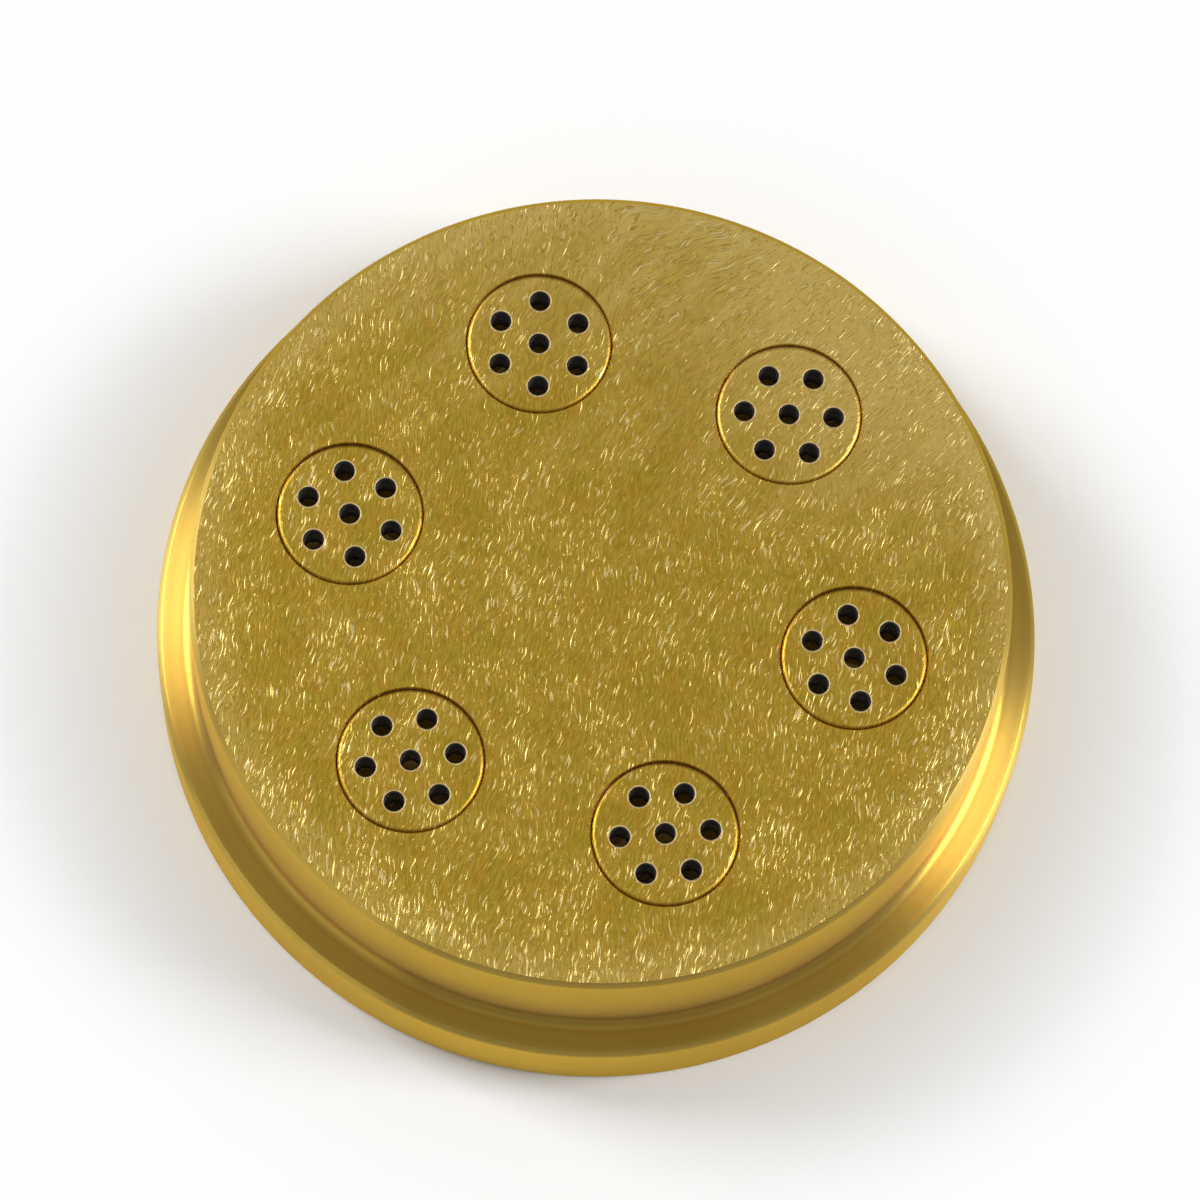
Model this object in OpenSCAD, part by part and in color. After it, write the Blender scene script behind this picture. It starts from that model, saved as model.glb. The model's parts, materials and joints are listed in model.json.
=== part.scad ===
// Pasta extrusion die: a turned brass body with a clamping flange and a ring of drop-in inserts.
// It lies on its back: the dough enters from below and the strands leave through the face on top.

/* [Die body] */
// Diameter of the spigot whose end is the face
spigot_d = 78.5; // [72:0.5:90]
// Height of the spigot above the flange
spigot_h = 14; // [10:0.5:20]
// Chamfer round the edge of the face
face_chamfer = 0.5; // [0.2:0.1:1.5]
// How far the flange stands out past the spigot
flange_lip = 3.5; // [2.5:0.25:8]
// Thickness of the flange
flange_t = 9.5; // [5:0.5:14]
// Chamfer on both edges of the flange
flange_chamfer = 0.5; // [0.2:0.1:1]
// Fillet between the spigot and the flange
shoulder_fillet = 1; // [0.4:0.1:1.4]

/* [Inserts] */
// Distance from the spigot's wall to the centres of the inserts
insert_margin = 14.25; // [13:0.25:16]
// Diameter of an insert's nose, where it shows in the face
nose_d = 14; // [12:0.5:15]
// Length of the narrow bore in the body that takes the nose
nose_seat_h = 8; // [6:0.5:9]
// How far the insert's head stands out past the nose
head_lip = 1.25; // [0.75:0.25:1.75]
// Radial clearance between an insert and its seat
seat_clearance = 0.1; // [0.05:0.05:0.2]
// How far the insert's front lies below the face
front_inset = 0.05; // [0:0.05:0.3]
// How far the insert's back lies inside the back of the body
back_inset = 0.5; // [0:0.1:1.5]
// Rounding of the nose's front edge
nose_round = 0.45; // [0.1:0.05:0.8]
// Broken edge at the front mouth of a seat
seat_front_chamfer = 0.1; // [0.05:0.05:0.3]
// Lead-in chamfer at the back mouth of a seat
seat_back_chamfer = 0.5; // [0.2:0.1:1]
// Chamfer on the back edge of an insert's head
head_chamfer = 0.3; // [0.1:0.1:0.6]

/* [Dough cup and holes] */
// Wall of the nose round the dough cup
cup_wall = 1.1; // [0.8:0.1:1.6]
// Thickness of the holed plate at the front of an insert
plate_t = 5; // [3:0.5:7]
// Chamfer at the mouth of the dough cup
cup_chamfer = 0.6; // [0.2:0.1:1]
// Diameter of an extrusion hole
hole_d = 1.9; // [1.2:0.05:2.4]
// Distance from the cup's wall to the centres of the outer holes
hole_margin = 1.6; // [1.5:0.05:2]
// Diameter of the lead-in cone at the dough side of a hole
lead_d = 2.9; // [2.5:0.1:3]
// Depth of the lead-in cone
lead_h = 1.2; // [0.5:0.1:2]
// Broken edge at the front of a hole
hole_break = 0.06; // [0.02:0.02:0.2]

/* [How each insert is turned in its seat] */
// Turn of the first insert, in degrees
turn_1 = 53.5; // [0:0.5:60]
// Turn of the second insert
turn_2 = 12.5; // [0:0.5:60]
// Turn of the third insert
turn_3 = 45; // [0:0.5:60]
// Turn of the fourth insert
turn_4 = 53.5; // [0:0.5:60]
// Turn of the fifth insert
turn_5 = 25.5; // [0:0.5:60]
// Turn of the sixth insert
turn_6 = 21; // [0:0.5:60]

/* [Hidden] */

$fn = 96;
// Overshoot of a cutting shape past the surface that it cuts
cut = 0.1;

body_h = flange_t + spigot_h;
spigot_r = spigot_d / 2;
flange_r = spigot_r + flange_lip;
// The small fillet is turned in flats, this many to a full circle
fillet_flats = 12;

turns = [turn_1, turn_2, turn_3, turn_4, turn_5, turn_6];
insert_count = len(turns);
insert_step = 360 / insert_count;
insert_circle_r = spigot_r - insert_margin;

// The insert's shoulder bears on the step in the body at this height
seat_z = body_h - nose_seat_h;
nose_r = nose_d / 2;
head_r = nose_r + head_lip;
front_z = body_h - front_inset;

cup_r = nose_r - cup_wall;
cup_floor_z = front_z - plate_t;

outer_holes = 6;
hole_circle_r = cup_r - hole_margin;

// Puts its children at one insert's place on the pitch circle
module at_insert(index) {
    rotate(index * insert_step)
        translate([insert_circle_r, 0])
            children();
}

// Half section of a disc from z = 0, with a chamfer on its lower and its upper edge
module chamfered_half(r, h, lower, upper) {
    polygon([
        [0, 0],
        [r - lower, 0],
        [r, lower],
        [r, h - upper],
        [r - upper, h],
        [0, h]
    ]);
}

// Half section of the turned body, before the seats are bored
module body_half() {
    chamfered_half(flange_r, flange_t, flange_chamfer, flange_chamfer);
    chamfered_half(spigot_r, body_h, 0, face_chamfer);
    translate([spigot_r, flange_t])
        difference() {
            square(shoulder_fillet);
            translate([shoulder_fillet, shoulder_fillet])
                circle(shoulder_fillet, $fn = fillet_flats);
        }
}

// Stepped bore that one insert drops into from the back
module seat() {
    bore_r = nose_r + seat_clearance;
    counterbore_r = head_r + seat_clearance;
    translate([0, 0, -cut])
        cylinder(r = counterbore_r, h = seat_z + cut);
    translate([0, 0, -cut])
        cylinder(r1 = counterbore_r + seat_back_chamfer + cut, r2 = counterbore_r,
            h = seat_back_chamfer + cut);
    cylinder(r = bore_r, h = body_h + cut);
    translate([0, 0, body_h - seat_front_chamfer])
        cylinder(r1 = bore_r, r2 = bore_r + seat_front_chamfer + cut,
            h = seat_front_chamfer + cut);
}

module die_body() {
    color([0.70, 0.56, 0.22])
        difference() {
            rotate_extrude($fn = 240)
                body_half();
            for (index = [0 : insert_count - 1])
                at_insert(index)
                    seat();
        }
}

// Half section of an insert: nose with a rounded edge, head with a chamfered back, dough cup inside
module insert_half() {
    difference() {
        union() {
            translate([0, back_inset])
                chamfered_half(head_r, seat_z - back_inset, head_chamfer, 0);
            translate([0, back_inset])
                square([nose_r, front_z - back_inset - nose_round]);
            translate([0, back_inset])
                square([nose_r - nose_round, front_z - back_inset]);
            translate([nose_r - nose_round, front_z - nose_round])
                circle(nose_round);
        }
        translate([-cut, back_inset - cut])
            square([cup_r + cut, cup_floor_z - back_inset + cut]);
        translate([0, back_inset])
            polygon([
                [0, -cut],
                [cup_r + cup_chamfer + cut, -cut],
                [cup_r, cup_chamfer],
                [0, cup_chamfer]
            ]);
    }
}

// Cutter of one extrusion hole: lead-in cone at the cup, straight land, broken edge at the front
module hole() {
    lead_r = lead_d / 2;
    hole_r = hole_d / 2;
    lead_slope = (lead_r - hole_r) / lead_h;
    rotate_extrude($fn = 48)
        polygon([
            [0, cup_floor_z - cut],
            [lead_r + cut * lead_slope, cup_floor_z - cut],
            [hole_r, cup_floor_z + lead_h],
            [hole_r, front_z - hole_break],
            [hole_r + hole_break + cut, front_z + cut],
            [0, front_z + cut]
        ]);
}

module insert(index) {
    color([0.73, 0.60, 0.26])
        at_insert(index)
            difference() {
                rotate_extrude()
                    insert_half();
                hole();
                for (k = [0 : outer_holes - 1])
                    rotate(turns[index] + k * 360 / outer_holes)
                        translate([hole_circle_r, 0])
                            hole();
            }
}

die_body();
insert(0);  // insert_1
insert(1);  // insert_2
insert(2);  // insert_3
insert(3);  // insert_4
insert(4);  // insert_5
insert(5);  // insert_6
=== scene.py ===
import json
import math

import bmesh
import bpy
from mathutils import Matrix, Vector


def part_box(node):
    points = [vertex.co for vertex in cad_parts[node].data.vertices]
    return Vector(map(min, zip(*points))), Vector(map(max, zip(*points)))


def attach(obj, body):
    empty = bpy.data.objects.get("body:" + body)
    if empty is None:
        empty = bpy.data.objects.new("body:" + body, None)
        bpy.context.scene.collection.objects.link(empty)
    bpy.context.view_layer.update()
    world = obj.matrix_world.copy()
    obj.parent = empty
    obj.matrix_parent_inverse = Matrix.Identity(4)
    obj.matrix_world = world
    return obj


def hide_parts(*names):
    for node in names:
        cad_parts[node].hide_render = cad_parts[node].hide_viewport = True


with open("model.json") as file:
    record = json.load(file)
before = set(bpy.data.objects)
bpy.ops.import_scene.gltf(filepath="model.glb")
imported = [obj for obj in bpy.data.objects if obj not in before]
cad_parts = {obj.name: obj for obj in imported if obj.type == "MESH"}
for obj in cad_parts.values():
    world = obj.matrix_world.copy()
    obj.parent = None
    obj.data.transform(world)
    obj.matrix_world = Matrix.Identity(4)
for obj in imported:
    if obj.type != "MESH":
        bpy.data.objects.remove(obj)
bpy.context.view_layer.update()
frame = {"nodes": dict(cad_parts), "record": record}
mm = 0.001
print("frame loaded:", len(frame["nodes"]), "nodes")

# where the solids are
mounts = {mount["name"]: mount for mount in frame["record"]["mounts"]}
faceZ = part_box("die_body")[1].z
flangeTop = mounts["shoulder"]["pos_m"][2]
insertNodes = sorted(node for node in frame["nodes"] if node.startswith("insert_"))


# shader tools

class Wire:
    # a socket of a node tree; sums on wires add Math nodes
    def __init__(self, tree, socket=None):
        self.tree = tree
        self.socket = socket

    def node(self, kind, settings={}, inputs={}, output=0):
        made = self.tree.nodes.new(kind)
        for name, value in settings.items():
            setattr(made, name, value)
        for name, value in inputs.items():
            if isinstance(value, Wire):
                self.tree.links.new(value.socket, made.inputs[name])
            else:
                made.inputs[name].default_value = value
        return Wire(self.tree, made.outputs[output] if made.outputs else None)

    def other(self, output):
        # another output of the node that this wire comes from
        return Wire(self.tree, self.socket.node.outputs[output])

    def maths(self, operation, *values):
        return self.node("ShaderNodeMath", {"operation": operation}, dict(enumerate(values)))

    def __add__(self, other):
        return self.maths("ADD", self, other)

    def __radd__(self, other):
        return self.maths("ADD", other, self)

    def __sub__(self, other):
        return self.maths("SUBTRACT", self, other)

    def __rsub__(self, other):
        return self.maths("SUBTRACT", other, self)

    def __mul__(self, other):
        return self.maths("MULTIPLY", self, other)

    def __rmul__(self, other):
        return self.maths("MULTIPLY", other, self)

    def __pow__(self, other):
        return self.maths("POWER", self, other)

    def ease(self, low, high):
        # 0 below low, 1 above high, smooth between
        return self.node("ShaderNodeMapRange", {"interpolation_type": "SMOOTHSTEP"},
                         {"Value": self, "From Min": low, "From Max": high})

    def blend(self, dark, light):
        # from one colour to the other as this wire goes from 0 to 1
        return self.node("ShaderNodeMix", {"data_type": "RGBA"}, {0: self, 6: dark, 7: light}, 2)

    def stretch(self, sizes, shift=(0, 0, 0)):
        # a place scaled along each axis, then shifted
        return self.node("ShaderNodeVectorMath", {"operation": "MULTIPLY_ADD"}, {0: self, 1: sizes, 2: shift})

    def clouds(self, scale=1.0, detail=1.0, roughness=0.5):
        # flat noise over a place
        return self.node("ShaderNodeTexNoise", {"noise_dimensions": "2D"},
                         {"Vector": self, "Scale": scale, "Detail": detail, "Roughness": roughness})


def rgb(red, green, blue):
    return (red, green, blue, 1.0)


def newMaterial(name):
    material = bpy.data.materials.new(name)
    material.use_nodes = True
    material.node_tree.nodes.clear()
    return material, Wire(material.node_tree)


def inMillimetres(start, turnDeg=0.0):
    # the piece's own place in millimetres, turned about the die's axis
    return start.node("ShaderNodeMapping", {"vector_type": "POINT"}, {
        "Vector": start.node("ShaderNodeTexCoord", output="Object"),
        "Scale": (1 / mm, 1 / mm, 1 / mm), "Rotation": (0, 0, math.radians(turnDeg))})


def radiusOf(place):
    x = place.node("ShaderNodeSeparateXYZ", {}, {0: place})
    y = x.other("Y")
    return (x * x + y * y) ** 0.5


# finishes

turnedLook = {
    "gold": rgb(0.67, 0.45, 0.045),
    "deepGold": rgb(0.60, 0.38, 0.028),
    "gleam": rgb(0.96, 0.94, 0.90),
    "gleamShare": 0.07,  # how much of the polish shines white
    "gleamRoughness": 0.44,
    "edgeTint": rgb(0.95, 0.72, 0.22),
    "roughness": 0.31,
    "anisotropic": 0.955,
    "lineScale": 9.0,  # lathe lines to the millimetre
    "bandScale": 1.6,  # broader bands of the same cut
    "cloudScale": 0.09,
    "lineDepth": 0.0008 * mm,
    "lineStrength": 0.6,
}


def turnedBrass(name):
    s = turnedLook
    material, start = newMaterial(name)
    place = inMillimetres(start)
    height = start.node("ShaderNodeSeparateXYZ", {}, {0: place}, "Z")
    across = start.node("ShaderNodeCombineXYZ", {}, {0: radiusOf(place), 1: height})
    lines = across.clouds(s["lineScale"], 3.0)
    bands = across.clouds(s["bandScale"], 2.0)
    cloud = start.node("ShaderNodeTexNoise", {}, {"Vector": place, "Scale": s["cloudScale"], "Detail": 2.0})
    colour = (0.5 * cloud.ease(0.35, 0.65) + 0.5 * bands.ease(0.3, 0.7)).blend(s["deepGold"], s["gold"])
    rough = s["roughness"] + 0.08 * (lines - 0.5) + 0.1 * (bands - 0.5)
    bump = start.node("ShaderNodeBump", {}, {
        "Height": lines, "Strength": s["lineStrength"], "Distance": s["lineDepth"]})

    def polish(colour, rough):
        # shines across the lathe lines
        return start.node("ShaderNodeBsdfPrincipled", {}, {
            "Base Color": colour, "Metallic": 1.0, "Roughness": rough, "Normal": bump,
            "Specular Tint": s["edgeTint"], "Anisotropic": s["anisotropic"], "Anisotropic Rotation": 0.25})

    shader = start.node("ShaderNodeMixShader", {}, {
        0: s["gleamShare"], 1: polish(colour, rough), 2: polish(s["gleam"], s["gleamRoughness"])})
    start.node("ShaderNodeOutputMaterial", {}, {"Surface": shader})
    return material


sandedLook = {
    "gold": rgb(0.625, 0.41, 0.056),
    "brown": rgb(0.495, 0.287, 0.026),
    "olive": rgb(0.43, 0.303, 0.026),
    # the painted shade beside each scratch
    "dark": rgb(0.36, 0.21, 0.022),
    "haze": rgb(0.76, 0.55, 0.15),
    # the pale colour painted on the scratch tops as their glint
    "fleck": rgb(0.95, 0.77, 0.34),
    "edgeTint": rgb(0.95, 0.74, 0.32),
    "grainTurn": 93.0,  # degrees from +X, the way most scratches run
    "sweepTurn": 58.0,  # the way the broad sanding sweeps run
    "roughness": 0.43,
    "scratchDepth": 0.07 * mm,  # of a full step of the noise, so most scratches are far shallower
    # widths and lengths in millimetres, and the height of the noise above which a scratch shows
    "stroke": {"width": 0.2, "length": 1.9, "seed": 41.0},
    "strokeOver": 0.66,
    "tick": {"width": 0.16, "length": 0.9, "seed": 87.0},
    "tickOver": 0.74,
    "grain": {"width": 0.2, "length": 1.2, "seed": 0.0},
    "sway": 2.6,  # how far the scratches wander aside, in millimetres
    "rippleSway": 0.7,
    "lean": 0.013,
    "rim": (34.0, 38.6),  # millimetres from the axis, scratched more
}


def sandedBrass(name):
    s = sandedLook
    material, start = newMaterial(name)
    flat = inMillimetres(start, 90 - s["grainTurn"])  # most scratches run along Y
    wander = flat.clouds(0.09) - 0.5
    ripple = flat.clouds(0.5) - 0.5
    x = start.node("ShaderNodeSeparateXYZ", {}, {0: flat})
    upward = x.other("Y")
    above = upward.maths("MAXIMUM", upward - 6.0, 0.0)
    lean = s["lean"] * above * above * x.ease(-22.0, 16.0)  # scratches at the upper right lean over
    aside = start.node("ShaderNodeCombineXYZ", {}, {0: s["sway"] * wander + s["rippleSway"] * ripple - lean})
    swayed = start.node("ShaderNodeVectorMath", {"operation": "ADD"}, {0: flat, 1: aside})

    def scratches(width, length, seed):
        return swayed.stretch((1 / width, 1 / length, 0), (seed, 1.7 * seed, 0)).clouds(1.0, 1.0)

    # which parts are rubbed smoother, and which are scratched more
    patch = flat.clouds(0.16, 2.0)
    rim = radiusOf(flat).ease(*s["rim"])
    rubbed = upward.ease(-10.0, 34.0)
    often = 0.22 * (patch - 0.5) - 0.025 * rubbed + 0.03 * rim

    strokes = scratches(**s["stroke"]) + often
    ticks = scratches(**s["tick"]) + often
    ridges = strokes.maths("MAXIMUM", strokes - s["strokeOver"], ticks - s["tickOver"])
    # the scratch tops: real bumps, also painted pale as a painted glint
    paintedGlints = ridges.ease(0.0, 0.07)
    # a band just beside each scratch, painted darker as its shaded side
    paintedShadeBand = ridges.ease(-0.10, -0.03) * (1 - ridges.ease(-0.02, 0.02))
    grain = scratches(**s["grain"])
    sweeps = inMillimetres(start, 90 - s["sweepTurn"]).stretch((0.45, 0.07, 0)).clouds(1.0, 2.0)
    mottle = flat.stretch((1, 1, 0), (17, 29, 0)).clouds(0.4, 2.0)

    colour = mottle.ease(0.35, 0.65).blend(s["brown"], s["olive"])
    colour = (0.6 * grain.ease(0.3, 0.7) + 0.4 * patch.ease(0.3, 0.7)).blend(colour, s["gold"])
    corner = x.ease(-5.0, 25.0) * upward.ease(5.0, 30.0)  # the upper right is rubbed palest
    worn = 0.8 * corner + 0.4 * upward.ease(12.0, 36.0)
    colour = (0.35 * sweeps.ease(0.45, 0.7) * rubbed + 0.45 * rim + worn).blend(colour, s["haze"])
    # painted shade beside each scratch
    colour = (0.75 * paintedShadeBand).blend(colour, s["dark"])
    # painted glint on each scratch top
    colour = (0.8 * paintedGlints).blend(colour, s["fleck"])
    rough = s["roughness"] + 0.1 * (grain - 0.5) + 0.05 * paintedShadeBand - 0.06 * paintedGlints
    height = ridges.maths("MAXIMUM", ridges, -0.02) + 0.25 * grain
    bump = start.node("ShaderNodeBump", {}, {
        "Height": height, "Strength": 1.0, "Distance": s["scratchDepth"]})
    shader = start.node("ShaderNodeBsdfPrincipled", {}, {
        "Base Color": colour, "Metallic": 1.0, "Roughness": rough, "Normal": bump,
        "Specular Tint": s["edgeTint"]})
    start.node("ShaderNodeOutputMaterial", {}, {"Surface": shader})
    return material


# a painted highlight for the edge of each hole
holeGlintLook = {
    "pale": rgb(0.70, 0.55, 0.27),
    "dull": rgb(0.54, 0.40, 0.16),
    "spotScale": 2.5,
    "roughness": 0.6,
}


def burrBrass(name):
    # the pale ring round each hole: a painted highlight of its broken edge
    s = holeGlintLook
    material, start = newMaterial(name)
    place = inMillimetres(start)
    spots = start.node("ShaderNodeTexNoise", {}, {"Vector": place, "Scale": s["spotScale"], "Detail": 2.0})
    colour = spots.ease(0.35, 0.65).blend(s["dull"], s["pale"])
    shader = start.node("ShaderNodeBsdfPrincipled", {}, {
        "Base Color": colour, "Metallic": 1.0, "Roughness": s["roughness"] + 0.2 * (spots - 0.5)})
    start.node("ShaderNodeOutputMaterial", {}, {"Surface": shader})
    return material


boreLook = {
    "soot": rgb(0.045, 0.041, 0.039),  # painted shade at the mouth, where the lamps light the walls
    "shade": rgb(0.26, 0.235, 0.217),
    "stain": rgb(0.35, 0.29, 0.22),
    "sootFrom": 3.0 * mm,  # below the face
    "sootTo": 0.6 * mm,
    "spotScale": 1.2,
    "roughness": 0.75,
}


def boreBrass(name):
    # the dull walls of the small holes, painted dark as their shade and darkest at the mouth, with random
    # stains
    s = boreLook
    material, start = newMaterial(name)
    place = inMillimetres(start)
    spots = start.node("ShaderNodeTexNoise", {}, {"Vector": place, "Scale": s["spotScale"], "Detail": 2.0})
    height = start.node("ShaderNodeSeparateXYZ", {}, {0: place}, "Z")
    # painted shade: darker towards the face, where lamps reach into the holes
    mouth = height.ease((faceZ - s["sootFrom"]) / mm, (faceZ - s["sootTo"]) / mm)
    colour = spots.ease(0.35, 0.65).blend(s["shade"], s["stain"])
    colour = mouth.blend(colour, s["soot"])
    shader = start.node("ShaderNodeBsdfPrincipled", {}, {
        "Base Color": colour, "Roughness": s["roughness"] + 0.2 * (spots - 0.5), "Specular IOR Level": 0.2})
    start.node("ShaderNodeOutputMaterial", {}, {"Surface": shader})
    return material


finishes = [
    turnedBrass("turnedBrass"),
    sandedBrass("sandedBrass"),
    burrBrass("burrBrass"),
    boreBrass("boreBrass"),
]
turnedFinish, sandedFinish, holeGlintFinish, boreFinish = range(4)
print("finishes made:", len(finishes))


# mesh tools

def turn(bm, profile, segments, centre=(0.0, 0.0), soften=0.0, finish=turnedFinish):
    # radius and height points, turned about an upright axis at centre
    strip = bmesh.new()
    points = [strip.verts.new((radius, 0, height)) for radius, height in profile]
    chain = [strip.edges.new(pair) for pair in zip(points, points[1:])]
    bmesh.ops.spin(strip, geom=points + chain, cent=(0, 0, 0), axis=(0, 0, 1),
                   angle=math.tau, steps=segments, use_merge=True)
    if soften:
        softenEdges(strip, soften)
    bmesh.ops.translate(strip, verts=strip.verts[:], vec=(*centre, 0))
    for face in strip.faces:
        face.smooth = True
        face.material_index = finish
    addTo(bm, strip)


def softenEdges(bm, width, over=0.35):
    # a small round on every turned corner
    corners = [edge for edge in bm.edges if len(edge.link_faces) == 2 and edge.calc_face_angle() > over]
    bmesh.ops.bevel(bm, geom=corners, offset=width, segments=2, profile=0.5, affect="EDGES", material=-1)


def addTo(bm, strip):
    mesh = bpy.data.meshes.new("strip")
    strip.to_mesh(mesh)
    strip.free()
    bm.from_mesh(mesh)
    bpy.data.meshes.remove(mesh)


def fillPlate(bm, height, finish=turnedFinish):
    # one flat plate between all the open rings at this height
    rings = [edge for edge in bm.edges
             if edge.is_boundary and all(abs(v.co.z - height) < 1e-7 for v in edge.verts)]
    plate = bmesh.ops.triangle_fill(bm, edges=rings, use_beauty=True, use_dissolve=False)
    for face in plate["geom"]:
        if isinstance(face, bmesh.types.BMFace):
            face.smooth = False
            face.material_index = finish


def arc(cx, cz, radius, fromDeg, toDeg, steps):
    turns = [math.radians(fromDeg + (toDeg - fromDeg) * k / steps) for k in range(steps + 1)]
    return [(cx + radius * math.cos(t), cz + radius * math.sin(t)) for t in turns]


def finishPiece(bm, name, node):
    bmesh.ops.remove_doubles(bm, verts=bm.verts[:], dist=1e-7)
    bmesh.ops.recalc_face_normals(bm, faces=bm.faces[:])
    mesh = bpy.data.meshes.new(name)
    bm.to_mesh(mesh)
    bm.free()
    for finish in finishes:
        mesh.materials.append(finish)
    piece = bpy.data.objects.new(name, mesh)
    bpy.context.scene.collection.objects.link(piece)
    weighted = piece.modifiers.new("evenNormals", "WEIGHTED_NORMAL")
    weighted.mode = "FACE_AREA"
    weighted.weight = 100
    weighted.keep_sharp = True  # the plates stay flat
    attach(piece, "root")
    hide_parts(node)


# inserts

insertSizes = {
    "noseR": 7.0 * mm,
    "noseLength": 8.0 * mm,  # below the die's face
    "noseRound": 0.45 * mm,
    "headChamfer": 0.3 * mm,
    "cupR": 5.9 * mm,
    "plate": 5.0 * mm,
    "cupChamfer": 0.6 * mm,
    "holeR": 0.95 * mm,
    "holeBreak": 0.06 * mm,
    # width of the flat ring painted pale round each hole as its edge highlight
    "burr": 0.14 * mm,
    "leadR": 1.45 * mm,
    "leadDepth": 1.2 * mm,
    "holeCircle": 4.3 * mm,
    "outerHoles": 6,
    "turns": [53.5, 12.5, 45.0, 53.5, 25.5, 21.0],  # degrees, first insert to last
    "segments": 144,
    "roundSteps": 8,
    "holeSegments": 48,
    "soften": 0.04 * mm,
}
shoulderZ = faceZ - insertSizes["noseLength"]


def middleOf(node):
    low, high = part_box(node)
    return (low.x + high.x) / 2, (low.y + high.y) / 2


def headRadius(node):
    low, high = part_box(node)
    return (high.x - low.x) / 2


def makeInsert(node, turnDeg):
    s = insertSizes
    back, front = (corner.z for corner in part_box(node))
    centre = middleOf(node)
    headR = headRadius(node)
    cupFloor = front - s["plate"]
    bm = bmesh.new()
    edge = arc(s["noseR"] - s["noseRound"], front - s["noseRound"], s["noseRound"], 90, 0, s["roundSteps"])
    outside = [
        edge[-1],
        (s["noseR"], shoulderZ),
        (headR, shoulderZ),
        (headR, back + s["headChamfer"]),
        (headR - s["headChamfer"], back),
        (s["cupR"] + s["cupChamfer"], back),
        (s["cupR"], back + s["cupChamfer"]),
        (s["cupR"], cupFloor),
    ]
    turn(bm, edge, s["segments"], centre, finish=sandedFinish)
    turn(bm, outside, s["segments"], centre, s["soften"])
    hole = [
        (s["leadR"], cupFloor),
        (s["holeR"], cupFloor + s["leadDepth"]),
        (s["holeR"], front - s["holeBreak"]),
        (s["holeR"] + s["holeBreak"], front),
    ]
    # a flat ring round each hole, given the pale finish as a painted highlight
    mouth = [
        hole[-1],
        (s["holeR"] + s["holeBreak"] + s["burr"], front),
    ]
    standsAt = math.atan2(centre[1], centre[0])
    around = [standsAt + math.radians(turnDeg + k * 360 / s["outerHoles"]) for k in range(s["outerHoles"])]
    spots = [centre] + [(centre[0] + s["holeCircle"] * math.cos(a), centre[1] + s["holeCircle"] * math.sin(a))
                        for a in around]
    for spot in spots:
        turn(bm, hole, s["holeSegments"], spot, finish=boreFinish)
        turn(bm, mouth, s["holeSegments"], spot, finish=holeGlintFinish)
    fillPlate(bm, front, sandedFinish)
    fillPlate(bm, cupFloor)
    finishPiece(bm, "brass_" + node, node)


for node, turnDeg in zip(insertNodes, insertSizes["turns"]):
    makeInsert(node, turnDeg)
print("inserts made:", len(insertNodes))


# body

bodySizes = {
    "flangeR": mounts["flange_rim"]["dims"]["r_mm"] * mm,
    "spigotR": mounts["spigot"]["dims"]["r_mm"] * mm,
    "flangeChamfer": 0.5 * mm,
    "faceChamfer": 0.5 * mm,
    "fillet": 1.0 * mm,
    "filletSteps": 10,
    "seatClearance": 0.05 * mm,
    "frontBreak": 0.1 * mm,
    "backChamfer": 0.5 * mm,
    "segments": 360,
    "seatSegments": 144,
    "soften": 0.06 * mm,
}


def makeBody():
    s = bodySizes
    bm = bmesh.new()
    outside = [
        (s["flangeR"] - s["flangeChamfer"], 0),
        (s["flangeR"], s["flangeChamfer"]),
        (s["flangeR"], flangeTop - s["flangeChamfer"]),
        (s["flangeR"] - s["flangeChamfer"], flangeTop),
    ]
    outside += arc(s["spigotR"] + s["fillet"], flangeTop + s["fillet"], s["fillet"],
                   270, 180, s["filletSteps"])
    outside += [
        (s["spigotR"], faceZ - s["faceChamfer"]),
        (s["spigotR"] - s["faceChamfer"], faceZ),
    ]
    turn(bm, outside, s["segments"], soften=s["soften"])
    boreR = insertSizes["noseR"] + s["seatClearance"]
    for node in insertNodes:
        wideR = headRadius(node) + s["seatClearance"]
        mouth = [
            (boreR + s["frontBreak"], faceZ),
            (boreR, faceZ - s["frontBreak"]),
        ]
        seat = [
            mouth[-1],
            (boreR, shoulderZ),
            (wideR, shoulderZ),
            (wideR, s["backChamfer"]),
            (wideR + s["backChamfer"], 0),
        ]
        turn(bm, mouth, s["seatSegments"], middleOf(node), finish=sandedFinish)
        turn(bm, seat, s["seatSegments"], middleOf(node))
    fillPlate(bm, faceZ, sandedFinish)
    fillPlate(bm, 0)
    finishPiece(bm, "brass_die_body", "die_body")


makeBody()
print("body made")


# floor and light

stageSizes = {
    "floorHalf": 3.0,
    "floorDrop": 0.05 * mm,
    "floorColour": rgb(0.92, 0.92, 0.92),
    "whiteFrom": 43.0,  # millimetres from the die's axis, where the floor starts to fade to white
    "whiteTo": 68.0,
    "whitest": 0.88,
    "skyLow": 0.1,  # light from the horizon
    "skyHigh": 0.385,  # light from overhead
    "skyUnder": 0.38,  # light from below, which only the back can mirror
    "cupLight": 0.04,  # the share of it that enters the dough cups
    "cupEdge": (6.2, 6.6),  # millimetres from an insert's middle
}


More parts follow.
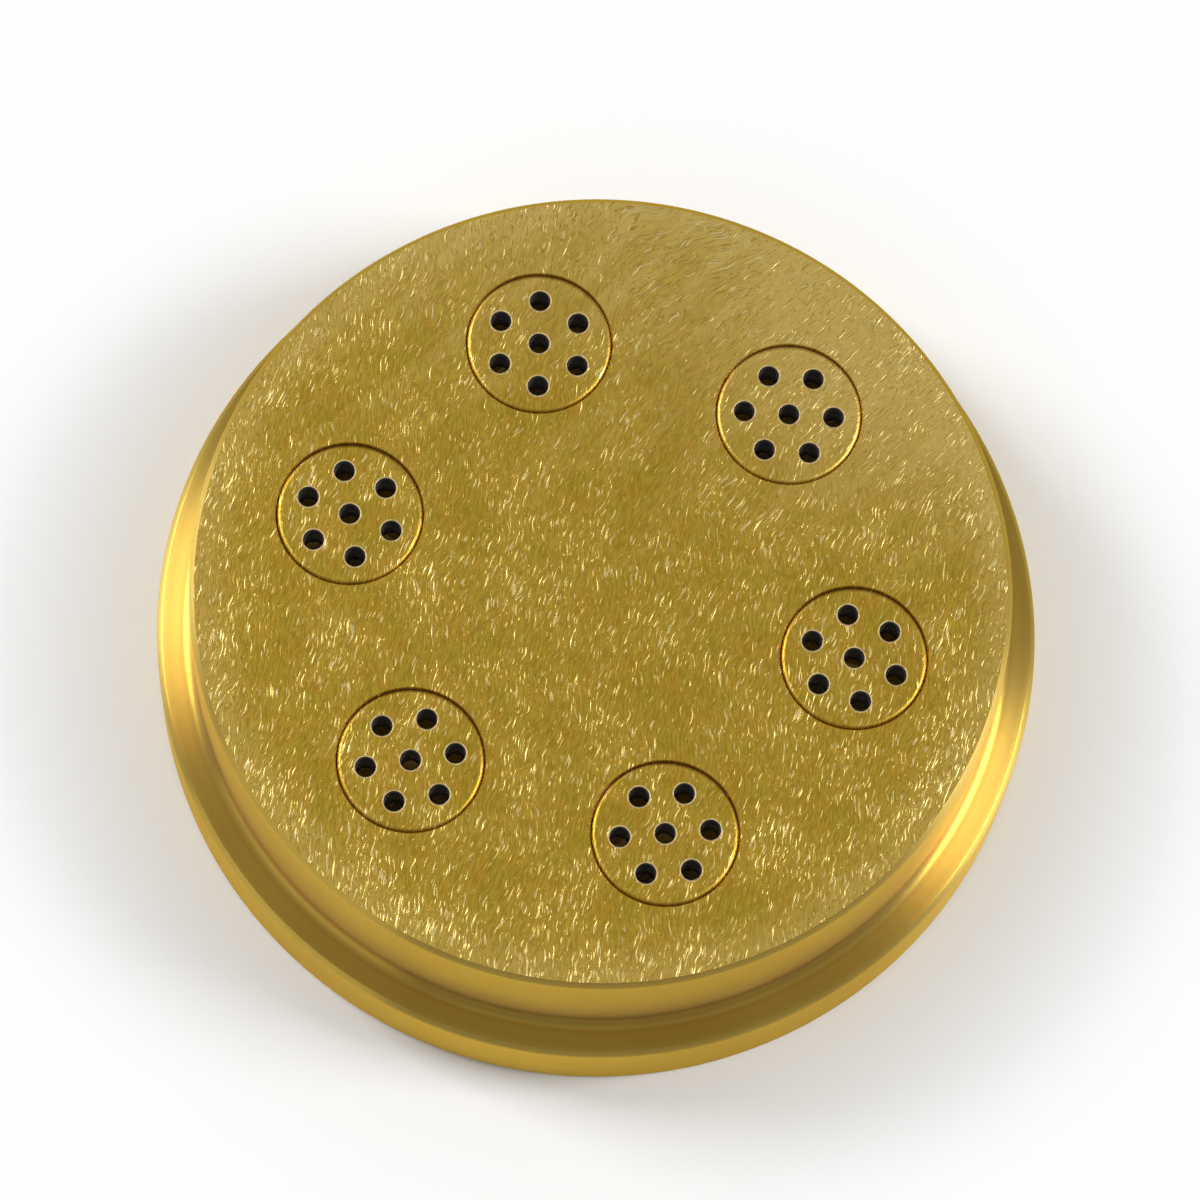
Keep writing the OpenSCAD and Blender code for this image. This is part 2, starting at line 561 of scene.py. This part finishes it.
def makeFloor():
    s = stageSizes
    bm = bmesh.new()
    bmesh.ops.create_grid(bm, x_segments=1, y_segments=1, size=s["floorHalf"])
    bmesh.ops.translate(bm, verts=bm.verts[:], vec=(0, 0, -s["floorDrop"]))
    mesh = bpy.data.meshes.new("floor")
    bm.to_mesh(mesh)
    bm.free()
    floor = bpy.data.objects.new("floor", mesh)
    bpy.context.scene.collection.objects.link(floor)
    material, start = newMaterial("paleFloor")
    matt = start.node("ShaderNodeBsdfDiffuse", {}, {"Color": s["floorColour"]})
    white = start.node("ShaderNodeEmission", {}, {"Color": rgb(1, 1, 1), "Strength": 1.0})
    camera = start.node("ShaderNodeLightPath", output="Is Camera Ray")
    looking = camera.maths("MAXIMUM", camera, camera.other("Is Glossy Ray"))
    looking = camera.maths("MAXIMUM", looking, camera.other("Is Transmission Ray"))
    place = inMillimetres(start)
    away = radiusOf(place)
    far = away.ease(s["whiteFrom"], s["whiteTo"])
    pale = start.node("ShaderNodeMixShader", {}, {0: s["whitest"] * far * looking, 1: matt, 2: white})
    clear = start.node("ShaderNodeBsdfTransparent")
    under = start.node("ShaderNodeNewGeometry", output="Backfacing")
    cup = s["floorHalf"] / mm  # the way to the nearest cup
    for node in insertNodes:
        x, y = middleOf(node)
        cup = start.maths("MINIMUM", cup, radiusOf(place.stretch((1, 1, 1), (-x / mm, -y / mm, 0))))
    hidden = camera.other("Is Glossy Ray") * (1 - away.ease(s["whiteFrom"] - 1.0, s["whiteFrom"]))
    hidden = hidden * (s["cupLight"] + (1 - s["cupLight"]) * cup.ease(*s["cupEdge"]))
    under = under.maths("MAXIMUM", under, hidden)  # clear below the die, so that its back can be seen
    both = start.node("ShaderNodeMixShader", {}, {0: under, 1: pale, 2: clear})
    start.node("ShaderNodeOutputMaterial", {}, {"Surface": both})
    mesh.materials.append(material)


lamps = {
    "left": {"around": 170.5, "up": 42.0, "away": 0.9, "size": (0.31, 0.31), "level": 15.0},
    "right": {"around": 12.5, "up": 42.0, "away": 0.9, "size": (0.31, 0.31), "level": 15.0},
    "wash": {"around": 228.0, "up": 20.0, "away": 0.9, "size": (0.7, 0.35), "level": 0.9},
}


def makeLamp(name, around, up, away, size, level):
    data = bpy.data.lights.new(name, "AREA")
    data.shape = "RECTANGLE"
    data.size, data.size_y = size
    data.energy = level * math.pi * size[0] * size[1]
    lamp = bpy.data.objects.new(name, data)
    bpy.context.scene.collection.objects.link(lamp)
    a, e = math.radians(around), math.radians(up)
    towards = Vector((math.cos(a) * math.cos(e), math.sin(a) * math.cos(e), math.sin(e)))
    lamp.location = Vector((0, 0, faceZ)) + away * towards
    lamp.rotation_euler = towards.to_track_quat("Z", "Y").to_euler()


def makeWorld():
    s = stageSizes
    world = bpy.data.worlds.new("studio")
    bpy.context.scene.world = world
    world.use_nodes = True
    world.node_tree.nodes.clear()
    start = Wire(world.node_tree)
    seen = start.node("ShaderNodeLightPath", output="Is Camera Ray")
    way = start.node("ShaderNodeTexCoord", output="Generated")
    rise = start.node("ShaderNodeSeparateXYZ", {}, {0: way}, "Z")
    sky = s["skyLow"] + (s["skyHigh"] - s["skyLow"]) * rise.ease(0.1, 0.95)
    sky = sky + (s["skyUnder"] - s["skyLow"]) * (0 - rise).ease(0.05, 0.3)
    strength = sky + (1 - sky) * seen
    light = start.node("ShaderNodeBackground", {}, {"Color": rgb(1, 1, 1), "Strength": strength})
    start.node("ShaderNodeOutputWorld", {}, {"Surface": light})


makeFloor()
makeWorld()
for name, lamp in lamps.items():
    makeLamp(name, **lamp)
print("floor and light made")


# camera

cameraSizes = {
    "around": 10.097,
    "up": 73.497,
    "roll": 6.273,
    "away": 597.35 * mm,
    "lens": 188.3,
    "slide": (-0.139 * mm, -1.381 * mm),  # right and up in the picture, from the middle of the face
}


def makeCamera():
    s = cameraSizes
    a, e = math.radians(s["around"]), math.radians(s["up"])
    back = Vector((math.sin(a) * math.cos(e), -math.cos(a) * math.cos(e), math.sin(e)))
    level = Vector((math.cos(a), math.sin(a), 0))
    rise = back.cross(level)
    r = math.radians(s["roll"])
    right = level * math.cos(r) + rise * math.sin(r)
    upward = back.cross(right)
    data = bpy.data.cameras.new("camera")
    data.lens = s["lens"]
    data.sensor_width = 36.0
    camera = bpy.data.objects.new("camera", data)
    bpy.context.scene.collection.objects.link(camera)
    spot = Vector((0, 0, faceZ)) + back * s["away"] + right * s["slide"][0] + upward * s["slide"][1]
    turnTo = Matrix((right, upward, back)).transposed().to_4x4()
    camera.matrix_world = Matrix.Translation(spot) @ turnTo
    bpy.context.scene.camera = camera


makeCamera()
bpy.context.scene.view_settings.view_transform = "Standard"
print("camera set")
